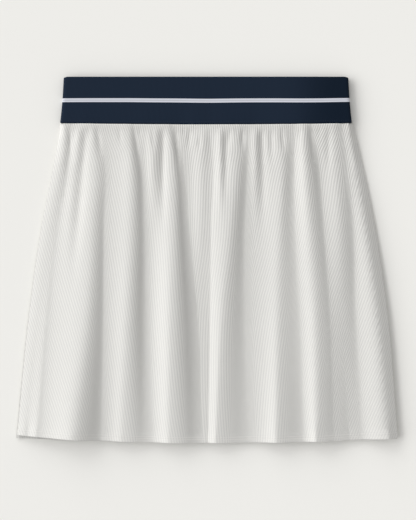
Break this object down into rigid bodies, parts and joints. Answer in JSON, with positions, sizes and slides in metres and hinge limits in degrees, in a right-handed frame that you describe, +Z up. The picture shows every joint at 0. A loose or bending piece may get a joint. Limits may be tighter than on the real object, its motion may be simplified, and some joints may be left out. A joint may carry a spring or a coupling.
{
  "type": "skort",
  "caption": "Flared ribbed-knit skort laid flat, front up: a skirt in soft folds gathered onto a wide striped elastic waistband, with plain shorts inside.",
  "frame": {"origin": "centre of the bounding box's underside, on the surface that the skort lies on", "axes": "+X across the garment, to the right as seen from above with the waistband at the top (the wearer's left), +Y from the hem towards the waistband, +Z up from the surface, out of the garment's front"},
  "size_m": [0.406, 0.39, 0.0149],
  "materials": {
    "band_elastic": "knitted navy elastic with one narrow white stripe, matt",
    "rib_knit": "white fine rib knit, matt",
    "shorts_jersey": "white smooth jersey, matt"
  },
  "bodies": {
    "root": {"waistband": "band_elastic", "skirt_front": "rib_knit", "skirt_back": "rib_knit", "shorts_front": "shorts_jersey", "shorts_back": "shorts_jersey"}
  },
  "joints": []
}
